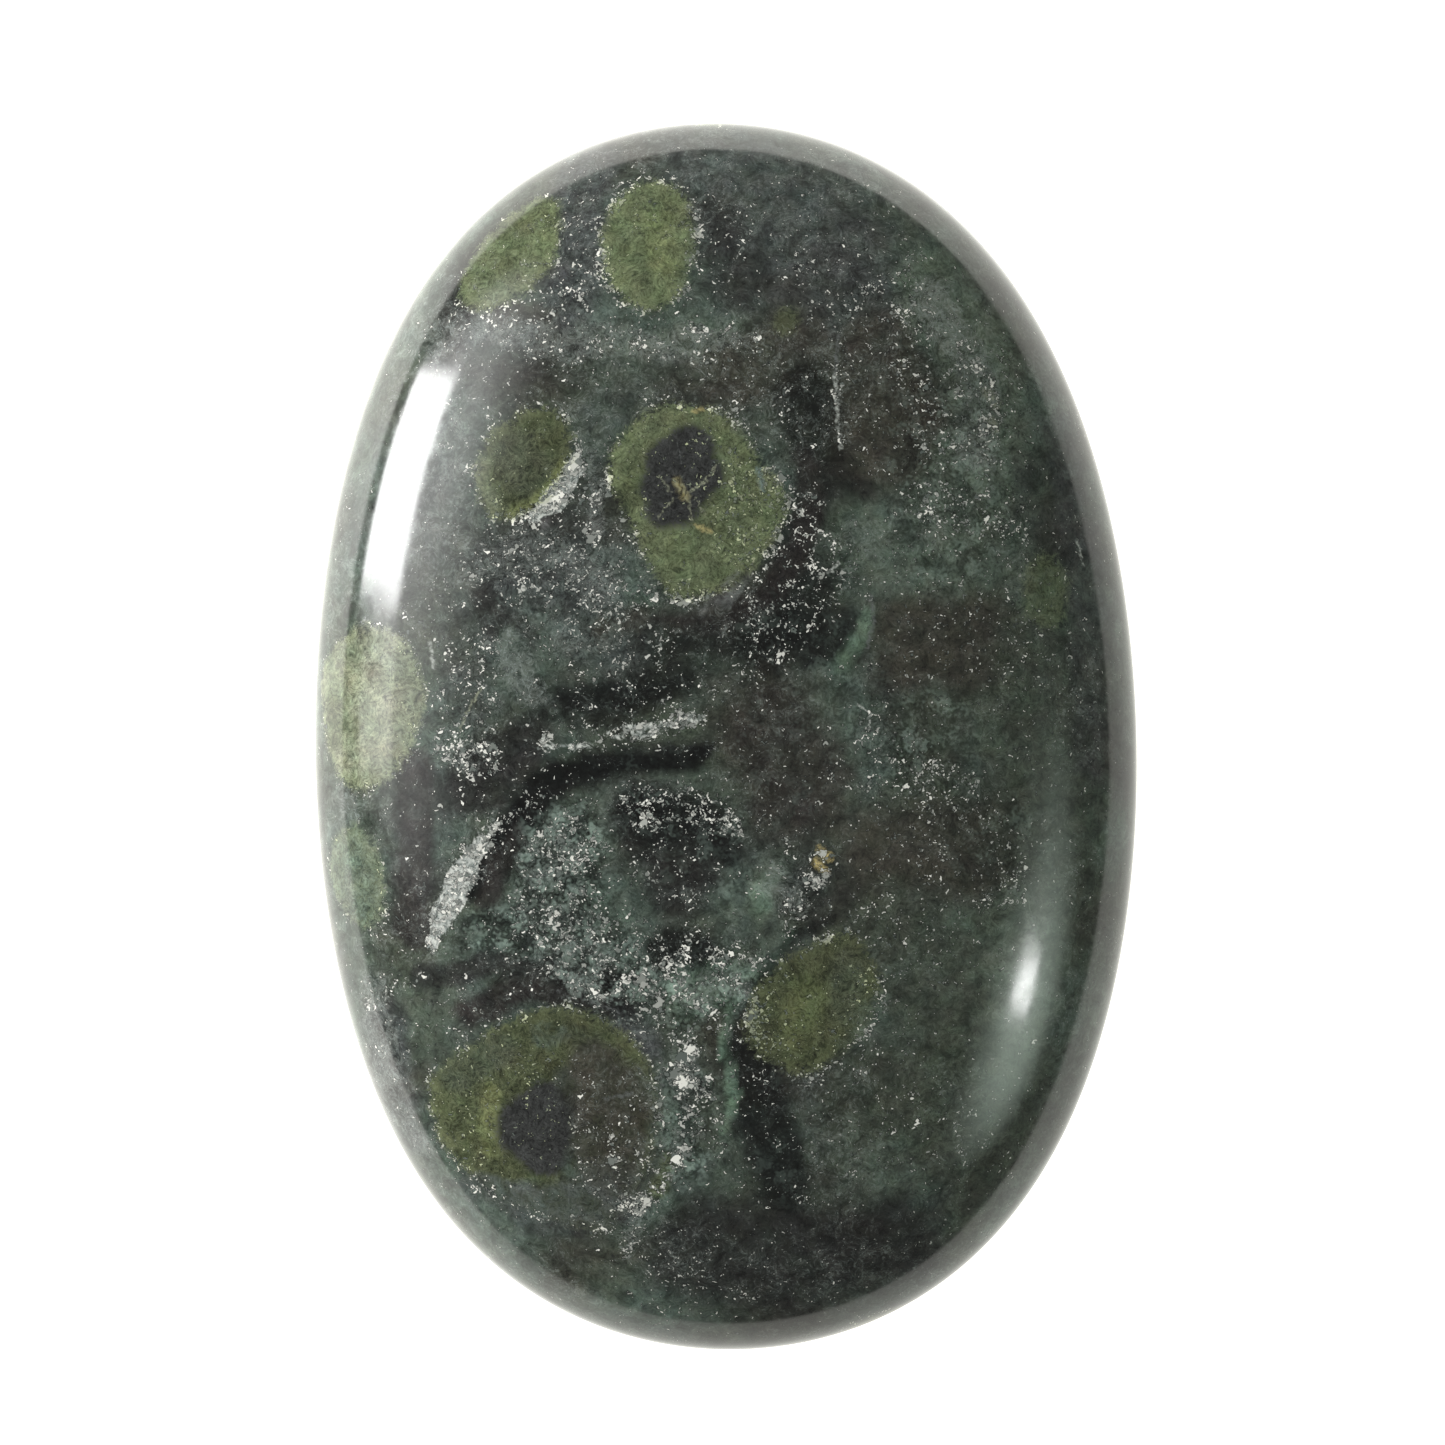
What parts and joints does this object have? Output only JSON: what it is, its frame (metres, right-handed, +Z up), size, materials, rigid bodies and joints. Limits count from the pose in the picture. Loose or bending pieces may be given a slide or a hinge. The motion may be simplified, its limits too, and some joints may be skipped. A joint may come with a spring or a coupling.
{
  "type": "kambaba jasper worry stone",
  "caption": "Oval polished worry stone of dark green orbicular jasper, with a low domed face, a rounded edge and a flat underside to rest on.",
  "frame": {"origin": "middle of the flat that the stone rests on, at the centre of the stone's box", "axes": "+Z up out of the domed face, +Y along the long axis towards the end at the top of the picture, +X across the stone"},
  "size_m": [0.0402, 0.06, 0.0136],
  "materials": {
    "polished_jasper": "polished, near-black green with olive orbs and pale flecks"
  },
  "bodies": {
    "root": {"stone": "polished_jasper"}
  },
  "joints": []
}
